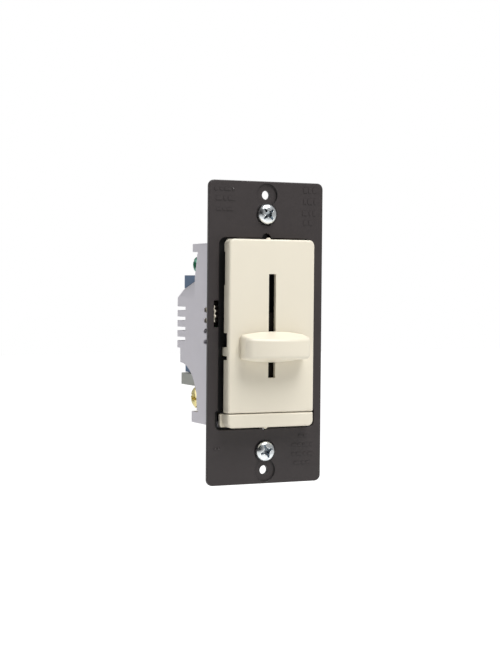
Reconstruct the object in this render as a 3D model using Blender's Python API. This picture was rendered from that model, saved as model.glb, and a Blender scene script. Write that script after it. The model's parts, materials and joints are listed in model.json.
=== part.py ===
"""A preset slide dimmer for a wall box, as the separate pieces it comes apart into.

The mounting strap carries everything. A heat sink plate is riveted behind the strap's opening. The face
panel, the slide knob and the on/off push bar stand in front of that plate. The housing behind it holds the
slide and trim potentiometers, the circuit board, the triac, the choke and the push switch, and carries the
wiring terminals on its sides.

Frame: +Z is up, the front faces -Y, and +X is to the right as seen from the front. The origin is the centre
of the strap's back plane. All lengths below are millimetres, and to_metres() turns a finished mesh into
metres.
"""

import math

import bmesh
import bpy
from mathutils import Matrix, Vector

MM = 0.001
GAP = 0.3  # clearance between neighbours that touch on the real object
OVERLAP = 0.5  # how far a shape runs into the one that it joins
BEYOND = 1.0  # how far a cutter runs past the surface that it cuts
SMOOTH_ANGLE = 35  # degrees between faces that still shade as one surface

# Mounting strap
STRAP_HALF_WIDTH = 22.2
STRAP_HALF_HEIGHT = 53.15
STRAP_THICKNESS = 1.5
STRAP_CORNER = 2.2
STRAP_FRONT = -STRAP_THICKNESS
WALL_PLATE_SCREW_Z = 48.4  # 96.8 mm between the wall plate's screws
WALL_PLATE_HOLE_RADIUS = 1.6
COLLAR_RADIUS = 2.6
COLLAR_LENGTH = 0.8
BOX_SCREW_Z = 41.65  # 83.3 mm between the wall box's screws
BOX_SCREW_HOLE_RADIUS = 2.0
RECESS_RADIUS = 4.05
RECESS_DEPTH = 0.7
SEAT_CENTRE = (14.0, 46.0)
SEAT_HALF_SIZE = (5.0, 4.0)
SEAT_HEIGHT = 0.4

# Opening in the strap
OPENING_HALF_WIDTH = 18.2
OPENING_TOP = 33.3
OPENING_BOTTOM = -33.6
BAR_OPENING_HALF_WIDTH = 19.4
BAR_OPENING_TOP = -27.0
OPENING_CORNER = 2.4
NUB_NOTCH_RADIUS = 1.65
TRIM_WINDOW_X = (-20.0, -17.0)
TRIM_WINDOW_Z = (2.1, 11.4)

# Screws in the strap
SCREW_HEAD_RADIUS = 3.6
SCREW_HEAD_HEIGHT = 2.2
SCREW_SHANK_RADIUS = 1.65
SCREW_TIP = 18.0
WASHER_RADII = (4.2, 1.95)
WASHER_REAR = 1.3

# Face panel and push bar
FACE_Y = -6.5
FACE_HALF_WIDTH = 16.55
FACE_EDGE_ROUND = 0.5
PANEL_TOP = 32.8
PANEL_BOTTOM = -27.65
PANEL_CORNER = 2.0
SKIRT_REAR = -2.2
SKIN = 1.5
SLOT_HALF_WIDTH = 1.33
SLOT_TOP = 20.7
SLOT_BOTTOM = -15.5
TAB_Z = (-7.8, -4.85)
TAB_OUTSIDE = 15.75
TAB_HOOK = 0.85
PEG_X = (7.2, 10.8)
PEG_Z = (31.45, 32.7)
PANEL_NUB_RADIUS = 0.75
BAR_TOP = PANEL_BOTTOM - GAP
BAR_BOTTOM = -32.8
BAR_FLANGE_HALF_WIDTH = 17.3
BAR_FLANGE_CORNER = 0.9
BAR_FLANGE_FRONT = -1.0
BAR_FLANGE_REAR = 0.2
BAR_HOLLOW = (-31.2, -28.8)
BAR_CENTRE_Z = -30.0
BAR_NUB_RADIUS = 0.95

# Slide knob, at rest
KNOB_Z = -4.7
KNOB_HALF_WIDTH = 12.4
KNOB_REAR = FACE_Y - GAP
KNOB_END_FRONT = -12.6
KNOB_MIDDLE_FRONT = -14.8
KNOB_MIDDLE_HALF_HEIGHT = 5.4
KNOB_END_HALF_HEIGHT = 4.1
KNOB_BAND_HALF_HEIGHT = 3.0  # of the front band that the sloping top and bottom faces run out to
STEM_HALF_HEIGHT = 3.0
TENON_HALF_HEIGHT = 1.9
TENON_REAR = -2.5

# Slide carriage
SHUTTER_Y = (-4.6, -3.9)
SHUTTER_HALF_SIZE = (3.4, 12.0)
NECK_HALF_SIZE = (1.4, 2.6)
SHOE_Y = (4.2, 5.4)
SHOE_HALF_SIZE = (2.6, 4.0)

# Heat sink plate
PLATE_FRONT = GAP
PLATE_REAR = 1.9
PLATE_HALF_WIDTH = 20.3
PLATE_HALF_HEIGHT = 37.0
RIVET_X = 13.0
RIVET_Z = 35.1
RIVET_HOLE_RADIUS = 1.3
RIVET_HEAD_RADIUS = 2.0
GUIDE_HALF_WIDTH = 1.75

# Trim wheel
WHEEL_CENTRE = (4.0, 6.8)
WHEEL_RADIUS = 5.2
WHEEL_LEFT = -19.7
WHEEL_RIGHT = -17.9
WHEEL_TEETH = 17
TOOTH_DEPTH = 0.6
WHEEL_SHAFT_RADIUS = 0.9
WHEEL_ROOM = (WHEEL_CENTRE[1] - 5.7, WHEEL_CENTRE[1] + 5.7)  # heights that its neighbours leave free

# Housing
HOUSING_HALF_WIDTH = 20.5
CHEEK_INSIDE = 19.1
HOUSING_FRONT = 2.2
HOUSING_FLOOR = (11.0, 12.4)
HOUSING_TOP = 31.0
REAR = 29.9
SHOULDER_REAR = 27.2
DEEP_TOP_FRONT = (14.4, 19.2)
DEEP_TOP_REAR = 15.0
DEEP_SIDE_TOP = 11.7
DEEP_SHOULDER_HALF_WIDTH = 17.8
DEEP_STEP_Z = -6.2
DEEP_BOTTOM = -11.3
TOP_LEDGE = (28.4, 31.3)
BOTTOM_LEDGE = (-32.5, -28.5)
LEDGE_REAR = 19.2
LEDGE_HALF_WIDTH = 19.3
FRONT_LIP_BOTTOM = -34.2
COMB_SLOTS_Z = (8.1, 4.45, 0.8, -2.85)
VENTS_Z = (8.0, 4.3, 0.6, -3.1)
HOUSING_SCREW_X = 11.0
HOUSING_SCREW_Z = 24.5
SCREW_HOLE_RADIUS = 1.4

# Wiring terminals
TERMINAL_SCREW = (17.4, -23.5)
TERMINAL_SCREW_RADII = (3.6, 1.7)  # head and shank
GROUND_SCREW = (16.9, 23.9)
GROUND_SCREW_RADII = (2.8, 1.4)
TERMINAL_X = (16.2, 17.2)
SCREW_OUTER_X = 19.4
PEDESTAL_X = (13.4, 15.9)

# Inside the housing
BOARD_FRONT = 9.0
BOARD_REAR = 10.6
SLIDE_POT_HALF_WIDTH = 5.0
SLIDE_POT_Z = (-21.0, 26.5)
SLIDE_POT_Y = (2.2, 8.6)
TRIAC_X = 11.3
TRIAC_HOLE_Z = 17.0
TRIAC_HALF_WIDTH = 5.0
CHOKE_CENTRE = (-4.5, 0.4)
SPRING_X = 11.0

FINISHES = {
    "brown_black_paint": ((0.062, 0.056, 0.055), 0.45, 0.0),
    "ivory_plastic": ((0.84, 0.79, 0.65), 0.35, 0.0),
    "grey_plastic": ((0.43, 0.42, 0.46), 0.5, 0.0),
    "barrier_plastic": ((0.33, 0.34, 0.31), 0.55, 0.0),
    "blue_plastic": ((0.075, 0.13, 0.2), 0.5, 0.0),
    "black_plastic": ((0.02, 0.02, 0.02), 0.5, 0.0),
    "black_aluminium": ((0.025, 0.025, 0.027), 0.5, 0.3),
    "zinc": ((0.62, 0.66, 0.7), 0.3, 1.0),
    "brass": ((0.8, 0.6, 0.25), 0.3, 1.0),
    "green_screw": ((0.05, 0.28, 0.14), 0.35, 0.6),
    "copper": ((0.72, 0.33, 0.17), 0.35, 1.0),
    "fibre": ((0.35, 0.12, 0.06), 0.8, 0.0),
    "board": ((0.05, 0.2, 0.08), 0.5, 0.0),
    "phenolic": ((0.25, 0.13, 0.05), 0.6, 0.0),
    "ferrite": ((0.12, 0.12, 0.12), 0.7, 0.0),
    "mica": ((0.7, 0.68, 0.6), 0.4, 0.0),
    "capacitor_film": ((0.6, 0.42, 0.05), 0.4, 0.0),
    "resistor_paint": ((0.65, 0.5, 0.3), 0.5, 0.0),
}


# ---------------------------------------------------------------- outlines


def arc(centre, radii, start, end, steps):
    """Points of an elliptic arc. Angles are degrees, anticlockwise from the first axis."""
    points = []
    for step in range(steps + 1):
        angle = math.radians(start + (end - start) * step / steps)
        points.append((centre[0] + radii[0] * math.cos(angle), centre[1] + radii[1] * math.sin(angle)))
    return points


def circle(radius, centre=(0.0, 0.0), steps=20):
    return arc(centre, (radius, radius), 0, 360, steps)[:-1]


def rectangle(u, v):
    return [(u[0], v[0]), (u[1], v[0]), (u[1], v[1]), (u[0], v[1])]


def rounded_rectangle(u, v, low_radius, high_radius, steps=4):
    """A rectangle with one corner radius at its low v side and another at its high v side."""
    corners = (
        ((u[1] - low_radius, v[0] + low_radius), low_radius, -90),
        ((u[1] - high_radius, v[1] - high_radius), high_radius, 0),
        ((u[0] + high_radius, v[1] - high_radius), high_radius, 90),
        ((u[0] + low_radius, v[0] + low_radius), low_radius, 180),
    )
    points = []
    for centre, radius, start in corners:
        points += arc(centre, (radius, radius), start, start + 90, steps)
    return points


def cross(arm, half_width, centre=(0.0, 0.0)):
    """A plus sign, as a screwdriver recess."""
    quarter = [(arm, -half_width), (arm, half_width), (half_width, half_width)]
    points = []
    for turn in range(4):
        cos, sin = round(math.cos(turn * math.pi / 2)), round(math.sin(turn * math.pi / 2))
        points += [(centre[0] + u * cos - v * sin, centre[1] + u * sin + v * cos) for u, v in quarter]
    return points


def mirrored(low, high):
    """The two ranges on both sides of the middle plane."""
    return ((-high, -low), (low, high))


def about(middle, half):
    return (middle - half, middle + half)


def four_places(x, z):
    return [(x_sign * x, z_sign * z) for x_sign in (-1, 1) for z_sign in (1, -1)]


def side_and_level(place):
    """What the name of a piece says about its place."""
    return f"{'upper' if place[1] > 0 else 'lower'}_{'left' if place[0] < 0 else 'right'}"


# ---------------------------------------------------------------- solids


def at(u, v, along, axis):
    """A point from two coordinates across an axis, in the order X, Y, Z, and one along it."""
    if axis == "X":
        return Vector((along, u, v))
    if axis == "Y":
        return Vector((u, along, v))
    return Vector((u, v, along))


def loft(loops, closed=False):
    """A closed solid through loops of equal length, capped at its ends unless the last meets the first."""
    mesh = bmesh.new()
    rings = [[mesh.verts.new(point) for point in loop] for loop in loops]
    pairs = list(zip(rings, rings[1:]))
    if closed:
        pairs.append((rings[-1], rings[0]))
    for near, far in pairs:
        for i in range(len(near)):
            j = (i + 1) % len(near)
            mesh.faces.new((near[i], near[j], far[j], far[i]))
    if not closed:
        mesh.faces.new(rings[0][::-1])
        mesh.faces.new(rings[-1])
    bmesh.ops.recalc_face_normals(mesh, faces=mesh.faces)
    return mesh


def prism(outline, axis, along):
    return loft([[at(u, v, end, axis) for u, v in outline] for end in along])


def block(x, y, z):
    return prism(rectangle(x, z), "Y", y)


def disc(radius, centre, axis, along, steps=20):
    return prism(circle(radius, centre, steps), axis, along)


def turned(profile, centre, axis, steps=20):
    """A solid of revolution. The profile lists (along, radius) from one end to the other."""
    loops = [[at(u, v, along, axis) for u, v in circle(radius, centre, steps)] for along, radius in profile]
    return loft(loops)


def ring(outer, inner, centre, axis, along, steps=20):
    corners = ((along[0], outer), (along[1], outer), (along[1], inner), (along[0], inner))
    loops = [[at(u, v, end, axis) for u, v in circle(radius, centre, steps)] for end, radius in corners]
    return loft(loops, closed=True)


def wire(path, radius, closed=False, sides=6):
    """A round wire along a path of points."""
    loops = []
    count = len(path)
    side = Vector((0, 0, 1))
    for i, point in enumerate(path):
        before = path[i - 1] if i or closed else point
        after = path[(i + 1) % count] if i + 1 < count or closed else point
        tangent = (after - before).normalized()
        side = (side - tangent * side.dot(tangent)).normalized()
        over = tangent.cross(side)
        angles = [2 * math.pi * k / sides for k in range(sides)]
        loops.append([point + radius * (side * math.cos(a) + over * math.sin(a)) for a in angles])
    return loft(loops, closed)


# ---------------------------------------------------------------- objects


def material(finish):
    found = bpy.data.materials.get(finish)
    if found:
        return found
    colour, roughness, metallic = FINISHES[finish]
    made = bpy.data.materials.new(finish)
    made.use_nodes = True
    shader = made.node_tree.nodes["Principled BSDF"]
    shader.inputs["Base Color"].default_value = (*colour, 1.0)
    shader.inputs["Roughness"].default_value = roughness
    shader.inputs["Metallic"].default_value = metallic
    return made


def to_metres(meshes):
    """One mesh from several, in metres."""
    whole = bpy.data.meshes.new("shape")
    joined = bmesh.new()
    for mesh in meshes:
        mesh.to_mesh(whole)
        joined.from_mesh(whole)
        mesh.free()
    joined.transform(Matrix.Scale(MM, 4))
    joined.to_mesh(whole)
    joined.free()
    return whole


def helper(*meshes):
    """An object that only shapes others."""
    made = bpy.data.objects.new("shaper", to_metres(meshes))
    made.hide_render = True
    made.display_type = "WIRE"
    bpy.context.collection.objects.link(made)
    return made


def boolean(target, operation, shapes):
    for shaper in shapes:
        modifier = target.modifiers.new(operation.lower(), "BOOLEAN")
        modifier.operation = operation
        modifier.solver = "EXACT"
        modifier.object = shaper


def piece(name, finish, *solids, add=(), cut=(), body=None):
    """A named piece of the dimmer. `add` and `cut` hold helpers, and body is the empty that it moves with."""
    made = bpy.data.objects.new(name, to_metres(solids))
    bpy.context.collection.objects.link(made)
    made.data.materials.append(material(finish))
    made.data.shade_smooth()
    made.data.set_sharp_from_angle(angle=math.radians(SMOOTH_ANGLE))
    boolean(made, "UNION", add)
    boolean(made, "DIFFERENCE", cut)
    if body:
        made.data.transform(Matrix.Translation(-body.location))
        made.parent = body
    return made


def moving_body(name, x, y, z):
    """An empty on a joint's axis, which the body's pieces hang on."""
    made = bpy.data.objects.new(name, None)
    made.location = Vector((x, y, z)) * MM
    bpy.context.collection.objects.link(made)
    return made


# ---------------------------------------------------------------- strap and plate


def mounting_strap():
    front, back = STRAP_FRONT, 0.0
    through = (front - BEYOND, back + BEYOND)
    recess = (front - BEYOND, front + RECESS_DEPTH)
    seats = [
        block(about(x, SEAT_HALF_SIZE[0]), (back - OVERLAP, SEAT_HEIGHT), about(z, SEAT_HALF_SIZE[1]))
        for x, z in four_places(*SEAT_CENTRE)
    ]
    outline = rounded_rectangle(
        about(0, STRAP_HALF_WIDTH), about(0, STRAP_HALF_HEIGHT), STRAP_CORNER, STRAP_CORNER, 6
    )
    opening = rounded_rectangle(
        about(0, OPENING_HALF_WIDTH), (OPENING_BOTTOM, OPENING_TOP), 1.0, OPENING_CORNER
    )
    bar_opening = rounded_rectangle(
        about(0, BAR_OPENING_HALF_WIDTH), (OPENING_BOTTOM - 0.1, BAR_OPENING_TOP), 2.0, 1.0
    )
    nub_notches = [disc(NUB_NOTCH_RADIUS, (0, z), "Y", through, 16) for z in (OPENING_TOP, OPENING_BOTTOM)]
    blind = (STRAP_FRONT + 0.6, back + BEYOND)
    holes = [disc(RIVET_HOLE_RADIUS, place, "Y", blind, 12) for place in four_places(RIVET_X, RIVET_Z)]
    hole_recesses, screw_recesses, collars = [], [], []
    for sign in (1, -1):
        plate_screw, box_screw = (0, sign * WALL_PLATE_SCREW_Z), (0, sign * BOX_SCREW_Z)
        hole_recesses.append(disc(RECESS_RADIUS, plate_screw, "Y", recess, 28))
        screw_recesses.append(disc(RECESS_RADIUS, box_screw, "Y", recess, 28))
        collars.append(disc(COLLAR_RADIUS, plate_screw, "Y", (back - OVERLAP, back + COLLAR_LENGTH)))
        holes.append(disc(WALL_PLATE_HOLE_RADIUS, plate_screw, "Y", through))
        holes.append(disc(BOX_SCREW_HOLE_RADIUS, box_screw, "Y", through))
    return piece(
        "mounting_strap",
        "brown_black_paint",
        prism(outline, "Y", (front, back)),
        add=[helper(*seats), helper(*collars)],
        cut=[
            helper(prism(opening, "Y", through)),
            helper(prism(bar_opening, "Y", through)),
            helper(block(TRIM_WINDOW_X, through, TRIM_WINDOW_Z)),
            helper(*nub_notches),
            helper(*hole_recesses),
            helper(*screw_recesses),
            helper(*holes),
        ],
    )


def heat_sink_plate():
    through = (PLATE_FRONT - BEYOND, PLATE_REAR + BEYOND)
    outline = rounded_rectangle(about(0, PLATE_HALF_WIDTH), about(0, PLATE_HALF_HEIGHT), 1.0, 1.0, 3)
    bar_room = (BAR_BOTTOM - GAP, BAR_TOP + GAP)
    windows = [
        block(about(0, GUIDE_HALF_WIDTH), through, (SLOT_BOTTOM, SLOT_TOP)),
        block((-PLATE_HALF_WIDTH - BEYOND, WHEEL_RIGHT + 0.4), through, WHEEL_ROOM),
        block(about(0, BAR_FLANGE_HALF_WIDTH + 0.5), through, bar_room),
    ]
    windows += [
        block(x, through, (TAB_Z[0] - 0.5, TAB_Z[1] + 0.45)) for x in mirrored(14.6, TAB_OUTSIDE + 0.35)
    ]
    windows += [
        block(x, through, (PEG_Z[0] - 0.35, PEG_Z[1] + GAP)) for x in mirrored(PEG_X[0] - GAP, PEG_X[1] + GAP)
    ]
    holes = [disc(RIVET_HOLE_RADIUS, place, "Y", through, 12) for place in four_places(RIVET_X, RIVET_Z)]
    holes += [
        disc(SCREW_HOLE_RADIUS, place, "Y", through, 12)
        for place in four_places(HOUSING_SCREW_X, HOUSING_SCREW_Z)
    ]
    holes.append(disc(1.6, (TRIAC_X, TRIAC_HOLE_Z), "Y", through, 12))
    nub_room = disc(BAR_NUB_RADIUS + 0.55, (0, BAR_BOTTOM - 0.4), "Y", through, 12)
    return piece(
        "heat_sink_plate",
        "black_aluminium",
        prism(outline, "Y", (PLATE_FRONT, PLATE_REAR)),
        cut=[helper(*windows), helper(*holes), helper(nub_room)],
    )


def rivet(front, under, shank, head, centre):
    """A rivet along Y, with its domed head at the rear."""
    profile = [(front, shank), (under, shank), (under, head)]
    profile += [(under + 0.7, 0.9 * head), (under + 1.1, 0.55 * head)]
    return turned(profile, centre, "Y", 12)


def plate_rivets():
    for place in four_places(RIVET_X, RIVET_Z):
        solid = rivet(-0.6, PLATE_REAR + GAP, 1.0, RIVET_HEAD_RADIUS, place)
        piece(f"plate_rivet_{side_and_level(place)}", "zinc", solid)


def mounting_screws():
    """The captive screws for the wall box, each with the fibre washer that keeps it in the strap."""
    head, shank = SCREW_HEAD_RADIUS, SCREW_SHANK_RADIUS
    under = STRAP_FRONT + RECESS_DEPTH - GAP
    top = under - SCREW_HEAD_HEIGHT
    profile = [(SCREW_TIP, 0.65 * shank), (SCREW_TIP - 0.8, shank), (under, shank), (under, head)]
    profile += [(top + 1.4, head), (top + 0.7, 0.86 * head), (top + 0.2, 0.6 * head), (top, 0.3 * head)]
    for level, z in (("upper", BOX_SCREW_Z), ("lower", -BOX_SCREW_Z)):
        drive = prism(cross(2.3, 0.45, (0, z)), "Y", (top - BEYOND, top + 1.3))
        piece(f"mounting_screw_{level}", "zinc", turned(profile, (0, z), "Y", 24), cut=[helper(drive)])
        washer = ring(*WASHER_RADII, (0, z), "Y", (GAP, WASHER_REAR))
        piece(f"retaining_washer_{level}", "fibre", washer)


# ---------------------------------------------------------------- front parts


def face_shell(z, low_radius, high_radius, rear):
    """The outer form shared by the panel and the push bar: square sides and a softly rounded front edge."""
    rounding = FACE_EDGE_ROUND
    loops = []
    for y, inset in (
        (rear, 0.0),
        (FACE_Y + rounding, 0.0),
        (FACE_Y + 0.3 * rounding, 0.3 * rounding),
        (FACE_Y, rounding),
    ):
        outline = rounded_rectangle(
            about(0, FACE_HALF_WIDTH - inset),
            (z[0] + inset, z[1] - inset),
            max(low_radius - inset, 0.1),
            max(high_radius - inset, 0.1),
        )
        loops.append([at(u, v, y, "Y") for u, v in outline])
    return loft(loops)


def face_panel():
    half_inside = FACE_HALF_WIDTH - SKIN
    hollow = block(
        about(0, half_inside), (FACE_Y + SKIN, BEYOND), (PANEL_BOTTOM + SKIN, PANEL_TOP - SKIN)
    )
    through_front = (FACE_Y - BEYOND, FACE_Y + SKIN + BEYOND)
    slot = block(about(0, SLOT_HALF_WIDTH), through_front, (SLOT_BOTTOM, SLOT_TOP))
    notch_front = FACE_Y + 1.8
    skirt_cuts = []
    for x in mirrored(half_inside - BEYOND, FACE_HALF_WIDTH + BEYOND):
        skirt_cuts.append(block(x, (notch_front, BEYOND), (TAB_Z[1] + 0.1, 0.1)))
        skirt_cuts.append(block(x, (notch_front, BEYOND), (-9.25, TAB_Z[0] - 0.1)))
        skirt_cuts.append(block(x, (SKIRT_REAR - 0.6, BEYOND), (16.8, 28.3)))
    pegs = [block(x, (SKIRT_REAR - BEYOND, 1.6), PEG_Z) for x in mirrored(*PEG_X)]
    nub = disc(PANEL_NUB_RADIUS, (0, PANEL_TOP - 0.1), "Y", (SKIRT_REAR - 1.2, SKIRT_REAR), 10)
    return piece(
        "face_panel",
        "ivory_plastic",
        face_shell((PANEL_BOTTOM, PANEL_TOP), 0.5, PANEL_CORNER, SKIRT_REAR),
        cut=[helper(hollow), helper(slot), helper(*skirt_cuts)],
        add=[helper(*[snap_tab(sign) for sign in (-1, 1)]), helper(*pegs), helper(nub)],
    )


def snap_tab(sign):
    """The tab in the skirt's side that hooks behind the heat sink plate."""
    outside, inside = FACE_HALF_WIDTH, FACE_HALF_WIDTH - SKIN
    root, catch = FACE_Y + 1.6, PLATE_REAR + 0.35
    outline = [(inside, root), (outside, root), (outside, STRAP_FRONT), (TAB_OUTSIDE, STRAP_FRONT)]
    outline += [(TAB_OUTSIDE, catch), (TAB_OUTSIDE + TAB_HOOK, catch)]
    outline += [(inside + 0.4, catch + 1.3), (inside, catch + 1.3)]
    return prism([(sign * x, y) for x, y in outline], "Z", TAB_Z)


def push_bar(body):
    flange = rounded_rectangle(
        about(0, BAR_FLANGE_HALF_WIDTH), (BAR_BOTTOM, BAR_TOP - 0.1), BAR_FLANGE_CORNER, 0.6
    )
    hollow = block(about(0, FACE_HALF_WIDTH - SKIN), (FACE_Y + SKIN, BEYOND + OVERLAP), BAR_HOLLOW)
    nub_y = (BAR_FLANGE_FRONT - 0.9, BAR_FLANGE_REAR - 0.1)
    nub = disc(BAR_NUB_RADIUS, (0, BAR_BOTTOM - 0.05), "Y", nub_y, 12)
    piece(
        "push_bar",
        "ivory_plastic",
        face_shell((BAR_BOTTOM, BAR_TOP), 1.9, 0.3, BAR_FLANGE_FRONT + 0.4),
        add=[helper(prism(flange, "Y", (BAR_FLANGE_FRONT, BAR_FLANGE_REAR))), helper(nub)],
        cut=[helper(hollow)],
        body=body,
    )


def slide_knob(body):
    """The knob lofted from side to side: its sections are taller and longer toward the middle."""
    stations = 12
    end_rounding = 0.8
    low = KNOB_BAND_HALF_HEIGHT
    loops = []
    for station in range(stations + 1):
        share = -1 + 2 * station / stations
        bulge = 1 - share * share
        tall = KNOB_END_HALF_HEIGHT + (KNOB_MIDDLE_HALF_HEIGHT - KNOB_END_HALF_HEIGHT) * bulge
        front = KNOB_END_FRONT + (KNOB_MIDDLE_FRONT - KNOB_END_FRONT) * bulge
        if abs(share) == 1:
            tall -= end_rounding
            front += end_rounding
        upper = [(KNOB_REAR, tall), (front + 1.2, low + 0.35), (front + 0.4, low), (front, low - 0.7)]
        section = upper + [(y, -z) for y, z in reversed(upper)]
        loops.append([Vector((KNOB_HALF_WIDTH * share, y, KNOB_Z + z)) for y, z in section])
    stem = block((-1.0, 1.0), (KNOB_REAR - BEYOND, FACE_Y + SKIN + 0.1), about(KNOB_Z, STEM_HALF_HEIGHT))
    tenon = block((-0.5, 0.5), (KNOB_REAR - BEYOND, TENON_REAR), about(KNOB_Z, TENON_HALF_HEIGHT))
    piece("slide_knob", "ivory_plastic", loft(loops), add=[helper(stem), helper(tenon)], body=body)


def slide_carriage(body):
    """The dust shutter behind the slot, the neck through the plate and the shoe inside the potentiometer."""
    shutter = block(about(0, SHUTTER_HALF_SIZE[0]), SHUTTER_Y, about(KNOB_Z, SHUTTER_HALF_SIZE[1]))
    neck_y = (SHUTTER_Y[1] - GAP, SHOE_Y[1] - 0.4)
    neck = block(about(0, NECK_HALF_SIZE[0]), neck_y, about(KNOB_Z, NECK_HALF_SIZE[1]))
    shoe = block(about(0, SHOE_HALF_SIZE[0]), SHOE_Y, about(KNOB_Z, SHOE_HALF_SIZE[1]))
    socket_y = (SHUTTER_Y[0] - 0.4, TENON_REAR + 0.4)
    socket = block((-0.8, 0.8), socket_y, about(KNOB_Z, TENON_HALF_HEIGHT + GAP))
    piece(
        "slide_carriage",
        "black_plastic",
        shutter,
        add=[helper(neck), helper(shoe)],
        cut=[helper(socket)],
        body=body,
    )


def slide_wiper(body):
    """A springy strip under the shoe, with two dimples that run on the track."""
    near = SHOE_Y[1] + 0.35
    far, thickness, half_width = near + 0.55, 0.25, 2.2
    crests = [(-3.4, near), (-1.6, far), (0.0, near), (1.6, far), (3.4, near)]
    section = [(y, KNOB_Z + z) for z, y in crests]
    section += [(y + thickness, KNOB_Z + z) for z, y in reversed(crests)]
    piece("slide_wiper", "copper", prism(section, "X", about(0, half_width)), body=body)


def trim_wheel(body):
    root = WHEEL_RADIUS - TOOTH_DEPTH
    rim = []
    for tooth in range(WHEEL_TEETH):
        middle = 360 * tooth / WHEEL_TEETH
        rim += arc(WHEEL_CENTRE, (WHEEL_RADIUS, WHEEL_RADIUS), middle - 4, middle + 4, 1)
        rim += arc(WHEEL_CENTRE, (root, root), middle + 7, middle + 13, 1)
    shaft = disc(WHEEL_SHAFT_RADIUS, WHEEL_CENTRE, "X", (WHEEL_RIGHT - OVERLAP, -12.0), 12)
    wheel = prism(rim, "X", (WHEEL_LEFT, WHEEL_RIGHT))
    piece("trim_wheel", "black_plastic", wheel, add=[helper(shaft)], body=body)


# ---------------------------------------------------------------- housing


def housing_side_outline():
    """The housing from its side, in Y and Z: front body, deep body, shoulder and the curves below it."""
    outline = [(HOUSING_FRONT, HOUSING_TOP)]
    outline += arc((5.9, 25.5), (6.9, 5.5), 90, 0, 5)
    outline += [DEEP_TOP_FRONT, (REAR, DEEP_TOP_REAR), (REAR, DEEP_STEP_Z), (SHOULDER_REAR, DEEP_STEP_Z)]
    outline += arc((SHOULDER_REAR, -25.0), (15.1, 13.6), 90, 180, 8)
    outline += arc((HOUSING_FRONT, -25.0), (9.9, 7.0), 0, -90, 6)
    return outline


def sloped_corner(sign):
    """The corner that the deep body's twisted upper slope takes off, from the front body to the rear."""
    margin = 0.2  # share of the slope that the cutter runs past both of its ends
    loops = []
    for y, top in (DEEP_TOP_FRONT, (REAR + OVERLAP, DEEP_TOP_REAR)):
        run = HOUSING_HALF_WIDTH - DEEP_SHOULDER_HALF_WIDTH
        rise = top - DEEP_SIDE_TOP
        low = (HOUSING_HALF_WIDTH + margin * run, DEEP_SIDE_TOP - margin * rise)
        high = (DEEP_SHOULDER_HALF_WIDTH - margin * run, top + margin * rise)
        outline = [low, (HOUSING_HALF_WIDTH + 2, top + 3), high]
        loops.append([at(sign * u, v, y, "Y") for u, v in outline])
    return loft(loops)


def housing_front_body():
    """What is joined to the extruded outline before the hollows are cut: the tub between the cheeks, with a
    lip at its front that backs the strap's opening below the push bar."""
    ledge = about(0, LEDGE_HALF_WIDTH)
    front = HOUSING_FRONT + 0.2
    tub = block(ledge, (front, HOUSING_FLOOR[1]), (BOTTOM_LEDGE[0], TOP_LEDGE[1]))
    lip = block(ledge, (front, front + 2.2), (FRONT_LIP_BOTTOM, BOTTOM_LEDGE[0] + OVERLAP))
    return [helper(tub), helper(lip)]


def housing_hollows():
    half = HOUSING_HALF_WIDTH
    inner = about(0, CHEEK_INSIDE)
    floor_front, floor_rear = HOUSING_FLOOR
    comb = [
        block(x, (22.6, REAR + BEYOND), about(z, 0.65))
        for z in COMB_SLOTS_Z
        for x in mirrored(15.4, half + BEYOND)
    ]
    vents = [
        prism(rounded_rectangle((3.2, 6.2), about(z, 0.8), 0.7, 0.7, 2), "X", x)
        for z in VENTS_Z
        for x in mirrored(CHEEK_INSIDE - BEYOND, half + BEYOND)
    ]
    rivet_rooms = [
        disc(RIVET_HEAD_RADIUS + 0.4, (x, -RIVET_Z), "Y", (BEYOND, 6.0), 12) for x in (-RIVET_X, RIVET_X)
    ]
    deep_z = (-9.9, 13.4)
    return [
        helper(block(inner, (BEYOND, floor_front), (-31.0, 29.6))),
        helper(block((WHEEL_LEFT - GAP, -CHEEK_INSIDE + BEYOND), (BEYOND, 9.8), WHEEL_ROOM)),
        helper(block(inner, (floor_rear, 17.0), (19.5, 32.0))),
        helper(block(inner, (floor_rear, REAR + BEYOND), (-33.0, DEEP_BOTTOM))),
        helper(block((-17.0, 17.0), (floor_front - 0.1, 21.5), deep_z)),
        helper(block((-14.2, 14.2), (21.4, 28.4), deep_z)),
        helper(sloped_corner(-1), sloped_corner(1)),
        helper(*comb),
        helper(*vents),
        helper(*rivet_rooms),
    ]


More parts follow.
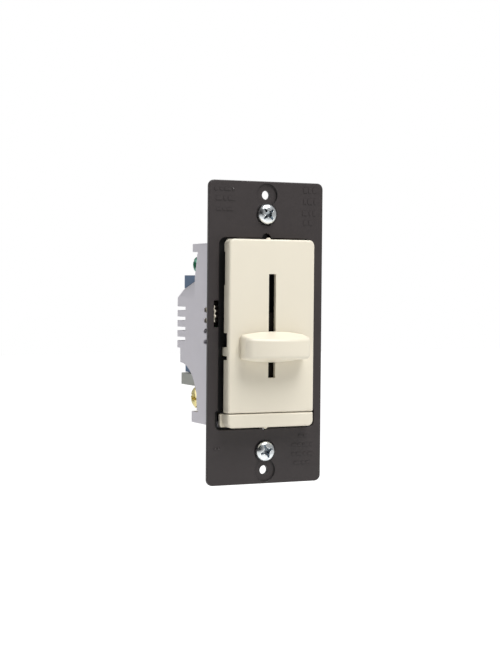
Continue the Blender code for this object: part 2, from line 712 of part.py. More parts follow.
def housing():
    ledge = about(0, LEDGE_HALF_WIDTH)
    floor_front, floor_rear = HOUSING_FLOOR
    boss_places = four_places(HOUSING_SCREW_X, HOUSING_SCREW_Z)
    ground_pedestal_x = (-PEDESTAL_X[1], -PEDESTAL_X[0])
    ledges = [block(ledge, (floor_rear - 0.4, LEDGE_REAR), z) for z in (TOP_LEDGE, BOTTOM_LEDGE)]
    pedestals = [block(x, (floor_rear - GAP, 22.6), (-28.7, -20.2)) for x in mirrored(*PEDESTAL_X)]
    pedestals.append(block(ground_pedestal_x, (floor_rear - GAP, 18.9), (20.5, 28.6)))
    bosses = [disc(2.2, place, "Y", (HOUSING_FRONT, floor_front + 0.5), 12) for place in boss_places]

    hole_x = (PEDESTAL_X[0] - 1.9, TERMINAL_X[1] - 0.2)
    holes = [disc(TERMINAL_SCREW_RADII[1] + GAP, TERMINAL_SCREW, "X", x, 12) for x in mirrored(*hole_x)]
    holes.append(disc(GROUND_SCREW_RADII[1] + GAP, GROUND_SCREW, "X", (-hole_x[1], -hole_x[0]), 12))
    slot_x, slot_y = (TERMINAL_X[0] - 0.25, TERMINAL_X[1] + 0.25), (floor_front - 0.5, floor_rear + 0.6)
    tail_slots = [block(x, slot_y, (-26.7, -22.3)) for x in mirrored(*slot_x)]
    tail_slots.append(block((-slot_x[1], -slot_x[0]), slot_y, (21.0, 26.8)))
    boss_holes = [disc(SCREW_HOLE_RADIUS, place, "Y", (0.0, floor_rear + 0.6), 12) for place in boss_places]

    shell = piece(
        "housing",
        "grey_plastic",
        prism(housing_side_outline(), "X", about(0, HOUSING_HALF_WIDTH)),
        add=housing_front_body(),
        cut=housing_hollows(),
    )
    boolean(shell, "UNION", [helper(*ledges), helper(*pedestals), helper(*bosses)])
    boolean(shell, "DIFFERENCE", [helper(*holes), helper(*tail_slots), helper(*boss_holes)])


def housing_screws():
    shank, head = 1.05, 2.0
    under = HOUSING_FLOOR[1] + GAP
    profile = [(1.0, 0.6 * shank), (1.6, shank), (under, shank), (under, head)]
    profile += [(under + 1.0, 0.95 * head), (under + 1.5, 0.6 * head)]
    for place in four_places(HOUSING_SCREW_X, HOUSING_SCREW_Z):
        piece(f"housing_screw_{side_and_level(place)}", "zinc", turned(profile, place, "Y", 12))


def rear_inserts():
    """The blue insulators above and below the deep body, and the barrier between them and the terminals."""
    floor = HOUSING_FLOOR[1] + GAP
    wedge_front, wedge_top = DEEP_TOP_FRONT[0] + 0.4, 20.1
    wedge = [(wedge_front, DEEP_TOP_FRONT[1] + GAP), (REAR, DEEP_TOP_REAR + GAP), (REAR, wedge_top)]
    wedge.append((wedge_front, wedge_top))
    wide, between_cheeks = about(0, DEEP_SHOULDER_HALF_WIDTH), about(0, CHEEK_INSIDE - GAP)
    piece("upper_insulator", "blue_plastic", prism(wedge, "X", wide))
    piece("lower_insulator", "blue_plastic", block(wide, (floor, REAR - 1.3), (-15.0, DEEP_BOTTOM - GAP)))
    piece("terminal_barrier", "barrier_plastic", block(between_cheeks, (floor, REAR), (-19.5, -15.0 - GAP)))


def side_screw(name, finish, centre, sign, radii):
    """A binding-head screw driven in from the side, with a slot across its head. radii are head and shank."""
    head, shank = radii
    outer, under = SCREW_OUTER_X, SCREW_OUTER_X - 1.8
    profile = [(12.0, shank), (under, shank), (under, head), (outer - 0.7, head)]
    profile += [(outer - 0.2, head * 0.8), (outer, head * 0.45)]
    slot = block(
        sorted((sign * (outer + BEYOND), sign * (outer - 0.8))),
        about(centre[0], head + BEYOND),
        about(centre[1], 0.5),
    )
    solid = turned([(sign * along, radius) for along, radius in profile], centre, "X", 20)
    piece(name, finish, solid, cut=[helper(slot)])


def terminals():
    hole_x = (TERMINAL_X[0] - 0.7, TERMINAL_X[1] + 0.8)
    blade_top, blade_bottom, blade_rear, step = -19.9, -27.6, 21.4, 12.8
    tail_front, tail_top, tail_bottom = 5.0, -22.6, -26.4
    blade = [(tail_front, tail_bottom), (step, tail_bottom), (step, blade_bottom), (blade_rear, blade_bottom)]
    blade += [(blade_rear, blade_top), (step, blade_top), (step, tail_top), (tail_front, tail_top)]
    for name, sign in (("line", -1), ("load", 1)):
        side_screw(f"{name}_terminal_screw", "brass", TERMINAL_SCREW, sign, TERMINAL_SCREW_RADII)
        across = sorted((sign * hole_x[0], sign * hole_x[1]))
        hole = disc(TERMINAL_SCREW_RADII[1] + GAP, TERMINAL_SCREW, "X", across, 12)
        span = sorted((sign * TERMINAL_X[0], sign * TERMINAL_X[1]))
        piece(f"{name}_terminal", "brass", prism(blade, "X", span), cut=[helper(hole)])


def ground():
    """The green screw and the bracket that joins it to the heat sink plate."""
    side_screw("ground_screw", "green_screw", GROUND_SCREW, -1, GROUND_SCREW_RADII)
    outer, inner, toe = -TERMINAL_X[1], -TERMINAL_X[0], -13.5
    front, rear = PLATE_REAR + GAP, 20.2
    bracket = [(outer, rear), (inner, rear), (inner, front + 1)]
    bracket += [(toe, front + 1), (toe, front), (outer, front)]
    hole = disc(GROUND_SCREW_RADII[1] + GAP, GROUND_SCREW, "X", (outer - 0.8, inner + 0.7), 12)
    piece("ground_terminal", "zinc", prism(bracket, "Z", (21.3, 26.5)), cut=[helper(hole)])


# ---------------------------------------------------------------- inside the housing


def slide_potentiometer():
    x, y, z = about(0, SLIDE_POT_HALF_WIDTH), SLIDE_POT_Y, SLIDE_POT_Z
    wall = 0.6
    hollow = block((x[0] + wall, x[1] - wall), (y[0] + wall, y[1] + BEYOND), (z[0] + wall, z[1] - wall))
    slot = block(about(0, GUIDE_HALF_WIDTH), (y[0] - BEYOND, y[0] + BEYOND), (SLOT_BOTTOM, SLOT_TOP))
    piece("slide_pot_frame", "zinc", block(x, y, z), cut=[helper(hollow), helper(slot)])
    track_y = (y[1] - 1.7, y[1] - 0.8)
    track = block((x[0] + wall + GAP, x[1] - wall - GAP), track_y, (z[0] + 1, z[1] - 1))
    piece("resistive_track", "phenolic", track)


def circuit_board():
    half_width, half_height = 18.0, 21.0
    wheel_notch = block((-half_width - BEYOND, WHEEL_RIGHT + 0.6), about(BOARD_FRONT, 2.6), WHEEL_ROOM)
    board = block(about(0, half_width), (BOARD_FRONT, BOARD_REAR), about(0, half_height))
    piece("circuit_board", "board", board, cut=[helper(wheel_notch)])


def triac():
    front, tab_rear, body_rear = 2.8, 4.1, 7.2
    body_z, leg_bottom = (4.0, 12.6), -1.6
    lead_y, lead_half_width, lead_pitch = (4.6, 5.2), 0.4, 2.5
    width = about(TRIAC_X, TRIAC_HALF_WIDTH)
    tab = block(width, (front, tab_rear), (body_z[1] - 0.6, 20.0))
    lead_sides = [about(TRIAC_X + lead_pitch * place, lead_half_width) for place in (-1, 0, 1)]
    legs = [block(x, lead_y, (leg_bottom + 0.6, body_z[0] + OVERLAP)) for x in lead_sides]
    feet = [block(x, (lead_y[0], BOARD_FRONT - GAP), (leg_bottom, leg_bottom + 0.7)) for x in lead_sides]
    centre = (TRIAC_X, TRIAC_HOLE_Z)
    hole_radius = 1.7
    piece(
        "triac",
        "black_plastic",
        block(width, (front, body_rear), body_z),
        add=[helper(tab), helper(*legs), helper(*feet)],
        cut=[helper(disc(hole_radius, centre, "Y", (front - 0.8, tab_rear + 0.9), 12))],
    )
    pad_y = (PLATE_REAR + GAP, front - GAP)
    pad = block(about(TRIAC_X, TRIAC_HALF_WIDTH + 0.4), pad_y, (3.6, 20.3))
    pad_hole = disc(hole_radius, centre, "Y", (pad_y[0] - BEYOND, pad_y[1] + BEYOND), 12)
    piece("triac_insulator", "mica", pad, cut=[helper(pad_hole)])
    piece("triac_rivet", "zinc", rivet(0.6, tab_rear + GAP, 1.2, 2.3, centre))


def choke():
    """A toroid on the rear of the board, with its winding as one closed wire round the core."""
    front, rear = BOARD_REAR + 2, BOARD_REAR + 8
    outer, inner = 8.0, 4.6
    piece("choke_core", "ferrite", ring(outer, inner, CHOKE_CENTRE, "Y", (front, rear), 28))
    turns, wire_radius = 18, 0.45
    off = wire_radius + 0.4
    section = [(outer + off, front), (outer, front - off), (inner, front - off), (inner - off, front)]
    section += [(inner - off, rear), (inner, rear + off), (outer, rear + off), (outer + off, rear)]
    path = []
    steps = turns * len(section)
    for step in range(steps):
        radius, along = section[step % len(section)]
        angle = 2 * math.pi * step / steps
        u = CHOKE_CENTRE[0] + radius * math.cos(angle)
        v = CHOKE_CENTRE[1] + radius * math.sin(angle)
        path.append(Vector((u, along, v)))
    piece("choke_winding", "copper", wire(path, wire_radius, closed=True, sides=4))


def board_parts():
    """The capacitors and the three axial parts. Those are listed with their X, length and radius."""
    filter_block = block((6.2, 13.2), (BOARD_REAR + GAP, 21.0), (-9.0, 9.0))
    timing_block = block((-15.0, -7.5), (3.4, BOARD_FRONT - GAP), (-9.5, -5.0))
    piece("filter_capacitor", "capacitor_film", filter_block)
    piece("timing_capacitor", "capacitor_film", timing_block)
    axis_y, middle, wire_radius, wire_length = 6.8, -12.0, 0.3, 1.5
    for name, x, length, radius in (
        ("gate_resistor", 8.5, 6.4, 1.2),
        ("bleed_resistor", 12.0, 8.0, 1.5),
        ("diac", 15.5, 4.2, 1.1),
    ):
        low, high = about(middle, length / 2)
        profile = [(low - wire_length, wire_radius), (low, wire_radius), (low, radius)]
        profile += [(high, radius), (high, wire_radius), (high + wire_length, wire_radius)]
        piece(name, "resistor_paint", turned(profile, (x, axis_y), "Z", 12))


def trim_potentiometer():
    x, y = (-16.5, -8.5), (PLATE_REAR + 0.5, BOARD_FRONT - GAP)
    shaft_hole = disc(WHEEL_SHAFT_RADIUS + GAP, WHEEL_CENTRE, "X", (x[0] - OVERLAP, -11.5), 12)
    body = block(x, y, about(WHEEL_CENTRE[1], 4.3))
    piece("trim_pot_body", "black_plastic", body, cut=[helper(shaft_hole)])


def push_switch():
    front, rear, wall = 3.0, 10.7, 1.2
    bottom, top = -30.8, -22.3
    shell = block((-8.0, 8.0), (front, rear), (bottom, top))
    ears = block((-13.0, 13.0), (front, front + wall), (bottom, bottom + 2.6))
    hollow = block((-6.6, 6.6), (front + wall, rear - 0.9), (bottom - wall, top - 1.3))
    entry = block((-1.9, 1.9), (front - BEYOND, front + 2), (bottom - wall, bottom + 1.8))
    piece("switch_body", "black_plastic", shell, add=[helper(ears)], cut=[helper(hollow), helper(entry)])
    for side, x in (("left", (-6.2, -3.4)), ("right", (3.4, 6.2))):
        piece(f"fixed_contact_{side}", "copper", block(x, (9.0, 9.5), (-30.6, -24.0)))


def switch_plunger(body):
    height = about(BAR_CENTRE_Z, 0.6)
    tip = 6.0
    rod = block((-1.5, 1.5), (FACE_Y + SKIN + GAP, tip), height)
    piece("switch_plunger", "black_plastic", rod, body=body)
    contact = block((-5.6, 5.6), (tip + GAP, tip + GAP + 0.5), height)
    piece("moving_contact", "copper", contact, body=body)


def return_springs():
    """Springs between the push bar and the switch's ears, which shorten as the bar goes in."""
    front, rear = FACE_Y + SKIN + 0.4, 2.6
    turns, per_turn = 6, 8
    coil_radius, wire_radius = 0.65, 0.16
    steps = turns * per_turn
    for side, x in (("left", -SPRING_X), ("right", SPRING_X)):
        path = []
        for step in range(steps + 1):
            angle = 2 * math.pi * step / per_turn
            along = front + (rear - front) * step / steps
            u, v = x + coil_radius * math.cos(angle), BAR_CENTRE_Z + coil_radius * math.sin(angle)
            path.append(Vector((u, along, v)))
        piece(f"return_spring_{side}", "zinc", wire(path, wire_radius, sides=4))


# ---------------------------------------------------------------- the dimmer


def main():
    for obj in list(bpy.data.objects):
        bpy.data.objects.remove(obj, do_unlink=True)

    mounting_strap()
    heat_sink_plate()
    plate_rivets()
    mounting_screws()
    face_panel()
    housing()
    housing_screws()
    rear_inserts()
    terminals()
    ground()
    slide_potentiometer()
    circuit_board()
    triac()
    choke()
    board_parts()
    trim_potentiometer()
    push_switch()
    return_springs()

    slider = moving_body("slider_body", 0, KNOB_REAR, KNOB_Z)
    slide_knob(slider)
    slide_carriage(slider)
    slide_wiper(slider)
    bar = moving_body("push_bar_body", 0, FACE_Y, BAR_CENTRE_Z)
    push_bar(bar)
    switch_plunger(bar)
    wheel = moving_body("trim_wheel_body", (WHEEL_LEFT + WHEEL_RIGHT) / 2, *WHEEL_CENTRE)
    trim_wheel(wheel)


main()
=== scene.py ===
"""The looks of a preset slide dimmer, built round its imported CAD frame.

The strap, face panel, push bar, slide knob, trim wheel, springs, screws and rivets are rebuilt here in finer
meshes. The other CAD nodes keep their shape and get softened edges. Every piece has a procedural material.
Lengths are millimetres in the frame's axes, apart from those of the camera, the lights and the floor, which
are metres: +Z up, the front facing -Y, +X to the right from the front.
"""

import json
import math

import bmesh
import bpy
from mathutils import Matrix, Vector


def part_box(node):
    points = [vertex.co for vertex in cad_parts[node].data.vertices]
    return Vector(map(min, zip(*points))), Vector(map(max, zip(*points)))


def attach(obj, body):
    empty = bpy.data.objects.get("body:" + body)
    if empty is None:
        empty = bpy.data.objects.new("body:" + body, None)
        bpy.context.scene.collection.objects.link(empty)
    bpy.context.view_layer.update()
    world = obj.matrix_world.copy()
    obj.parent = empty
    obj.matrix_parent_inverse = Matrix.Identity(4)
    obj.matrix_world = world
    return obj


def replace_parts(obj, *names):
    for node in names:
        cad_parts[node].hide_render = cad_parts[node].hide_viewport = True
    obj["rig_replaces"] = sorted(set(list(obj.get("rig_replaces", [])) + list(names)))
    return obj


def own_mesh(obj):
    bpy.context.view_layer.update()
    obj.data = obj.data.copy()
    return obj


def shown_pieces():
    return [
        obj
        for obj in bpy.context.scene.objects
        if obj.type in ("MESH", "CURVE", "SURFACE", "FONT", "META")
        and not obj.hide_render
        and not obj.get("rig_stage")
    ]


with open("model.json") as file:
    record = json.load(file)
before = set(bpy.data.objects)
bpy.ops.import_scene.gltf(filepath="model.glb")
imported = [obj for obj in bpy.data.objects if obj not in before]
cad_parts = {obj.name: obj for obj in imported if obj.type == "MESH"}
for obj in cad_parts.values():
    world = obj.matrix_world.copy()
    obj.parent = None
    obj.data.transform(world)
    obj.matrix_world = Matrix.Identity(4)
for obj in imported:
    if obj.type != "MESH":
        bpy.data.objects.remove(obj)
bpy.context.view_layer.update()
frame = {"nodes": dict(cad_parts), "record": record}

MM = 0.001

# Camera, at the angle that the object is seen from
CAMERA_AIM = (0.0, -0.0015, 0.0)
CAMERA_AZIMUTH = -26.09
CAMERA_ELEVATION = 1.90
CAMERA_ROLL = 0.50
CAMERA_DISTANCE = 0.5466
CAMERA_LENS = 83.86  # millimetres
CAMERA_SHIFT = (-0.0237, -0.0008)

# Studio. A light has its name, its place, what it faces, its size and its watts.
KEY_LIGHT = ("key", (0.10, -0.27, 0.52), (0, 0, 0), 0.4, 3.6)
REAR_LIGHT = ("left rear fill", (-0.7, 0.45, 0.15), (0, 0.01, 0), 0.5, 1.1)
ROOM_STRENGTH = 0.38
DARK_SIDE = (-0.8, -0.66, 0.0)
DARK_SIDE_COSINES = (0.3, 0.95)  # towards the dark side the room fades to black between these
FLOOR_Z = -0.16
FLOOR_HALF_SIZE = 3.0
FLOOR_GLOW = (0.22, 0.8)  # what the floor gives to the object, and what the camera sees

# Edge softening of the CAD nodes
CORNER_ANGLE = math.radians(35)
FINE_EDGE = 0.12
WIRES = ("choke_winding",)

# Strap
STRAP_CORNER = 2.2
OPENING_X = (-18.2, 18.2)
OPENING_Z = (-33.6, 33.3)
BAR_OPENING_X = (-19.4, 19.4)
BAR_OPENING_Z = (-33.7, -27.0)
WHEEL_WINDOW_X = (-20.0, -17.0)
WHEEL_WINDOW_Z = (2.1, 11.4)
NOTCHES = ((1.65, 33.3), (1.3, -32.85))  # radius and height of the notches round the two nubs
PLATE_HOLE_Z = 48.4
PLATE_HOLE_RADIUS = 1.6
BOX_HOLE_RADIUS = 2.0
RECESS_RADIUS = 4.05
RECESS_DEPTH = 0.7
SEAT_SIZE = (10.0, 8.0)
SEAT_HEIGHT = 0.4
SEAT_LOW_X = (-19.0, 9.0)
SEAT_LOW_Z = (42.0, -50.0)
COLLAR_RADIUS = 2.6
DASH_HEIGHT = 0.18
DASH_SPACE = 0.5

# Screws, rivets, wheel and springs
THREAD_PITCH = 0.8
MOUNTING_SCREW_HEAD = 3.6  # from the head's middle to its upper edge
BINDING_HEAD_HEIGHT = 1.8
SCREW_EDGE = 0.06
WHEEL_CENTRE = (4.0, 6.8)
WHEEL_RADIUS = 5.2
WHEEL_WIDTH = 1.8
KNURLS = 17
KNURL_DEPTH = 0.8
SPRING_WIRE_RADIUS = 0.16
SPRING_TURNS = 6

# Face panel and push bar
FACE_HALF_WIDTH = 16.55
FACE_EDGE_ROUND = 0.7
SKIN = 1.5
HALF_INSIDE = FACE_HALF_WIDTH - SKIN
SLOT_X = (-1.33, 1.33)
SLOT_Z = (-15.5, 20.7)
SKIRT_REAR = -2.2
SKIRT_NOTCH_Y = (-4.7, 1.0)
TAB_Z = (-7.8, -4.85)
TAB_FRONT = -4.9
TAB_OUTSIDE = 15.75
TAB_HOOK = (2.25, 3.55)
PEG_X = (7.2, 10.8)
PEG_Z = (31.45, 32.7)
PANEL_NUB_RADIUS = 0.75
BAR_BOTTOM = -32.8
BAR_FLANGE_Y = (-1.0, 0.2)
BAR_FLANGE_CORNER = 0.9
BAR_HOLLOW_Z = (-31.2, -28.8)
BAR_NUB_RADIUS = 0.95

# Slide knob
KNOB_END_FRONT = -12.6
KNOB_END_HALF_HEIGHT = 4.2
KNOB_BAND_END = 3.3  # half the front band's height at the knob's ends
KNOB_BAND_MIDDLE = 2.9
KNOB_BAND_DROP = 0.75  # how much further down the band goes than up
STEM_HALF_HEIGHT = 3.0
TENON_HALF_HEIGHT = 1.9
TENON_REAR = -2.5


# ---------------------------------------------------------------- outlines and solids


def arc(centre, radii, start, end, steps):
    """Points of an elliptic arc. Angles are degrees, anticlockwise from the first axis."""
    points = []
    for step in range(steps + 1):
        angle = math.radians(start + (end - start) * step / steps)
        points.append((centre[0] + radii[0] * math.cos(angle), centre[1] + radii[1] * math.sin(angle)))
    return points


def circle(radius, centre=(0.0, 0.0), steps=48):
    return arc(centre, (radius, radius), 0, 360, steps)[:-1]


def rounded_rectangle(u, v, low_radius, high_radius, steps=8):
    """A rectangle with one corner radius at its low v side and another at its high v side."""
    corners = (
        ((u[1] - low_radius, v[0] + low_radius), low_radius, -90),
        ((u[1] - high_radius, v[1] - high_radius), high_radius, 0),
        ((u[0] + high_radius, v[1] - high_radius), high_radius, 90),
        ((u[0] + low_radius, v[0] + low_radius), low_radius, 180),
    )
    points = []
    for centre, radius, start in corners:
        points += arc(centre, (radius, radius), start, start + 90, steps)
    return points


def turned_points(points, degrees, centre):
    """The points of an outline turned about a centre."""
    cos, sin = math.cos(math.radians(degrees)), math.sin(math.radians(degrees))
    made = []
    for u, v in points:
        u, v = u - centre[0], v - centre[1]
        made.append((centre[0] + u * cos - v * sin, centre[1] + u * sin + v * cos))
    return made


def both_sides(low, high):
    """The two ranges on both sides of the middle plane."""
    return ((-high, -low), (low, high))


def middle(span):
    return (span[0] + span[1]) / 2


def at(u, v, along, axis):
    """A point from two coordinates across an axis, in the order X, Y, Z, and one along it."""
    if axis == "X":
        return Vector((along, u, v))
    if axis == "Y":
        return Vector((u, along, v))
    return Vector((u, v, along))


def loft(loops):
    """A closed solid through loops of equal length, capped at both ends."""
    mesh = bmesh.new()
    rings = [[mesh.verts.new(point) for point in loop] for loop in loops]
    for near, far in zip(rings, rings[1:]):
        for i in range(len(near)):
            j = (i + 1) % len(near)
            mesh.faces.new((near[i], near[j], far[j], far[i]))
    mesh.faces.new(rings[0][::-1])
    mesh.faces.new(rings[-1])
    bmesh.ops.recalc_face_normals(mesh, faces=mesh.faces)
    return mesh


def prism(outline, axis, along):
    return loft([[at(u, v, end, axis) for u, v in outline] for end in along])


def block(x, y, z):
    return prism([(x[0], z[0]), (x[1], z[0]), (x[1], z[1]), (x[0], z[1])], "Y", y)


def disc(radius, centre, axis, along, steps=48):
    return prism(circle(radius, centre, steps), axis, along)


def turned(profile, centre, axis, steps=48):
    """A solid of revolution. The profile lists (along, radius) from one end to the other."""
    return loft(
        [[at(u, v, along, axis) for u, v in circle(radius, centre, steps)] for along, radius in profile]
    )


def rim(radius, steps=4):
    """(depth, widening) pairs down a rounded rim, from the face that it starts at."""
    return [(radius - down, radius - out) for out, down in arc((0, 0), (radius, radius), 90, 0, steps)]


def layers(outline, stations, axis):
    """A solid through an outline at several places. outline(grow) is its loop grown by a width, and stations
    lists (along, grow)."""
    return loft([[at(u, v, along, axis) for u, v in outline(grow)] for along, grow in stations])


def opening(outline, face, end, rounding):
    """A cutter along Y for an opening whose rim is rounded where it starts at the face."""
    stations = [(face - 2, rounding)]
    stations += [(face + depth, widening) for depth, widening in rim(rounding)]
    return layers(outline, stations + [(end, 0)], "Y")


def threaded(radius, depth, pitch, along, centre, axis, steps=24):
    """A shank with a helical thread cut into it."""
    per_pitch = 6
    count = int(abs(along[1] - along[0]) / pitch * per_pitch)
    loops = []
    for i in range(count + 1):
        loop = []
        for k in range(steps):
            phase = (i / per_pitch + k / steps) % 1
            groove = depth * (1 - abs(2 * phase - 1))
            angle = 2 * math.pi * k / steps
            u = centre[0] + (radius - groove) * math.cos(angle)
            v = centre[1] + (radius - groove) * math.sin(angle)
            loop.append(at(u, v, along[0] + (along[1] - along[0]) * i / count, axis))
        loops.append(loop)
    return loft(loops)


def round_outline(radius, centre):
    return lambda grow: circle(radius + grow, centre)


def rectangle_outline(u, v, low_radius, high_radius, steps=8):
    return lambda grow: rounded_rectangle(
        (u[0] - grow, u[1] + grow),
        (v[0] - grow, v[1] + grow),
        max(low_radius + grow, 0.1),
        max(high_radius + grow, 0.1),
        steps,
    )


def box_of(node):
    """The ranges in X, Y and Z that a CAD node fills, in millimetres."""
    low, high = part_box(node)
    return tuple((low[i] / MM, high[i] / MM) for i in range(3))


# ---------------------------------------------------------------- objects


def to_metres(meshes):
    """One mesh in metres from several in millimetres."""
    whole = bpy.data.meshes.new("shape")
    joined = bmesh.new()
    for mesh in meshes:
        mesh.to_mesh(whole)
        joined.from_mesh(whole)
        mesh.free()
    joined.transform(Matrix.Scale(MM, 4))
    joined.to_mesh(whole)
    joined.free()
    return whole


def new_object(name, meshes):
    made = bpy.data.objects.new(name, to_metres(meshes))
    bpy.context.scene.collection.objects.link(made)
    return made


def add_boolean(target, operation, shaper):
    modifier = target.modifiers.new(operation.lower(), "BOOLEAN")
    modifier.operation = operation
    modifier.solver = "EXACT"
    modifier.object = shaper


def add_bevel(target, width, segments):
    modifier = target.modifiers.new("soft edges", "BEVEL")
    modifier.width = width * MM
    modifier.segments = segments
    modifier.limit_method = "ANGLE"
    modifier.angle_limit = CORNER_ANGLE
    modifier.use_clamp_overlap = False


def add_even_shading(target):
    """Flat faces keep their flat shading up to the softened edges."""
    modifier = target.modifiers.new("even shading", "WEIGHTED_NORMAL")
    modifier.mode = "FACE_AREA"
    modifier.weight = 100


def bake_modifiers(target):
    """Replaces the object's mesh with what its modifiers make of it."""
    graph = bpy.context.evaluated_depsgraph_get()
    shaped = bpy.data.meshes.new_from_object(
        target.evaluated_get(graph), preserve_all_data_layers=True, depsgraph=graph
    )
    target.modifiers.clear()
    target.data = shaped


def piece(node, body, *solids, add=(), cut=(), edge=0.15, segments=3):
    """A finer piece that stands for a CAD node. `add` and `cut` are lists of helper solids, each a list of
    shells that don't touch."""
    made = new_object(f"{node}_shape", solids)
    made.data.shade_smooth()
    helpers = []
    for operation, groups in (("UNION", add), ("DIFFERENCE", cut)):
        for group in groups:
            helpers.append(new_object("helper", group))
            add_boolean(made, operation, helpers[-1])
    if edge:
        add_bevel(made, edge, segments)
    add_even_shading(made)
    bake_modifiers(made)
    for helper in helpers:
        bpy.data.objects.remove(helper)
    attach(made, body)
    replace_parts(made, node)
    finish = SLOT_OF_NODE[node]
    made.data.materials.clear()
    made.data.materials.append(FINISH_MATERIALS[finish])
    return made


def paint_faces(shown, finish, chosen):
    """Gives a second finish to the faces whose centre and normal, in millimetres, chosen() picks."""
    shown.data.materials.append(FINISH_MATERIALS[finish])
    slot = len(shown.data.materials) - 1
    for face in shown.data.polygons:
        if chosen(face.center / MM, face.normal):
            face.material_index = slot


def join_facets(shown):
    """Readies a CAD node for rounding by modifiers, which leave its own mesh alone."""
    shown.data.shade_smooth()
    normals = shown.data.attributes.get("custom_normal")
    if normals:
        shown.data.attributes.remove(normals)
    weld = shown.modifiers.new("join facets", "WELD")
    weld.merge_threshold = 1e-6


def soften(shown, width, segments=2):
    flat = shown.modifiers.new("merge flats", "DECIMATE")
    flat.decimate_type = "DISSOLVE"
    flat.angle_limit = math.radians(0.5)
    add_bevel(shown, width, segments)
    add_even_shading(shown)


# ---------------------------------------------------------------- materials


def grown(colour, amount):
    return (*(min(channel * (1 + amount), 1.0) for channel in colour), 1.0)


def surface(
    name, colour, roughness, metallic=0.0, mottle=(250, 0.04), spread=0.06, grain=(2500, 0.01), specular=0.5
):
    """A Principled material. mottle is the noise scale, per metre, and the share of the colour's variation,
    spread is how far the roughness varies, and grain is the scale, per metre, and the depth, in millimetres,
    of the moulded texture."""
    made = bpy.data.materials.new(name)
    made.use_nodes = True
    tree = made.node_tree
    shader = tree.nodes["Principled BSDF"]
    shader.inputs["Metallic"].default_value = metallic
    shader.inputs["Specular IOR Level"].default_value = specular
    place = tree.nodes.new("ShaderNodeTexCoord").outputs["Object"]

    def noise(scale, detail):
        found = tree.nodes.new("ShaderNodeTexNoise")
        found.inputs["Scale"].default_value = scale
        found.inputs["Detail"].default_value = detail
        tree.links.new(place, found.inputs["Vector"])
        return found.outputs["Fac"]

    clouds = noise(mottle[0], 3)
    tone = tree.nodes.new("ShaderNodeMix")
    tone.data_type = "RGBA"
    tone.inputs[6].default_value = grown(colour, -mottle[1])
    tone.inputs[7].default_value = grown(colour, mottle[1])
    tree.links.new(clouds, tone.inputs[0])
    tree.links.new(tone.outputs[2], shader.inputs["Base Color"])

    gloss = tree.nodes.new("ShaderNodeMapRange")
    gloss.inputs["To Min"].default_value = max(roughness - spread, 0.02)
    gloss.inputs["To Max"].default_value = roughness + spread
    tree.links.new(noise(mottle[0] * 3, 2), gloss.inputs["Value"])
    tree.links.new(gloss.outputs["Result"], shader.inputs["Roughness"])

    bump = tree.nodes.new("ShaderNodeBump")
    bump.inputs["Strength"].default_value = 0.6
    bump.inputs["Distance"].default_value = grain[1] * MM
    tree.links.new(noise(grain[0], 2), bump.inputs["Height"])
    tree.links.new(bump.outputs["Normal"], shader.inputs["Normal"])
    return made


def plated_metal(name, colour, roughness, spangle):
    """Metal with crystals of slightly different brightness and gloss, and fine scratches."""
    made = surface(name, colour, roughness, 1.0, mottle=(600, 0.12), spread=0.1, grain=(1800, 0.006))
    tree = made.node_tree
    shader = tree.nodes["Principled BSDF"]
    cells = tree.nodes.new("ShaderNodeTexVoronoi")
    cells.inputs["Scale"].default_value = spangle
    place = tree.nodes.new("ShaderNodeTexCoord").outputs["Object"]
    tree.links.new(place, cells.inputs["Vector"])
    shade = tree.nodes.new("ShaderNodeMix")
    shade.data_type = "RGBA"
    shade.inputs[6].default_value = grown(colour, -0.15)
    shade.inputs[7].default_value = grown(colour, 0.12)
    tree.links.new(cells.outputs["Color"], shade.inputs[0])
    tree.links.new(shade.outputs[2], shader.inputs["Base Color"])
    return made


def banded(name, colour, bands):
    """Lacquer with coloured rings across the part's length: bands lists (start of band, colour)."""
    made = surface(name, colour, 0.4, mottle=(900, 0.05), grain=(3000, 0.004))
    tree = made.node_tree
    shader = tree.nodes["Principled BSDF"]
    place = tree.nodes.new("ShaderNodeTexCoord").outputs["Generated"]
    split = tree.nodes.new("ShaderNodeSeparateXYZ")
    tree.links.new(place, split.inputs["Vector"])
    ramp = tree.nodes.new("ShaderNodeValToRGB")
    ramp.color_ramp.interpolation = "CONSTANT"
    ramp.color_ramp.elements[0].color = (*colour, 1.0)
    ramp.color_ramp.elements[1].position = 0.99
    ramp.color_ramp.elements[1].color = (*colour, 1.0)
    for start, band in bands:
        ramp.color_ramp.elements.new(start).color = (*band, 1.0)
    tree.links.new(split.outputs["Z"], ramp.inputs["Fac"])
    tree.links.new(ramp.outputs["Color"], shader.inputs["Base Color"])
    return made


def woven_board(name, colour):
    """Glass-fibre board: the weave shows through the solder resist as a fine check."""
    made = surface(name, colour, 0.35, mottle=(400, 0.1), grain=(1500, 0.008))
    tree = made.node_tree
    shader = tree.nodes["Principled BSDF"]
    check = tree.nodes.new("ShaderNodeTexChecker")
    check.inputs["Scale"].default_value = 2000
    check.inputs["Color1"].default_value = grown(colour, 0.15)
    check.inputs["Color2"].default_value = grown(colour, -0.1)
    place = tree.nodes.new("ShaderNodeTexCoord").outputs["Object"]
    tree.links.new(place, check.inputs["Vector"])
    tree.links.new(check.outputs["Color"], shader.inputs["Base Color"])
    return made


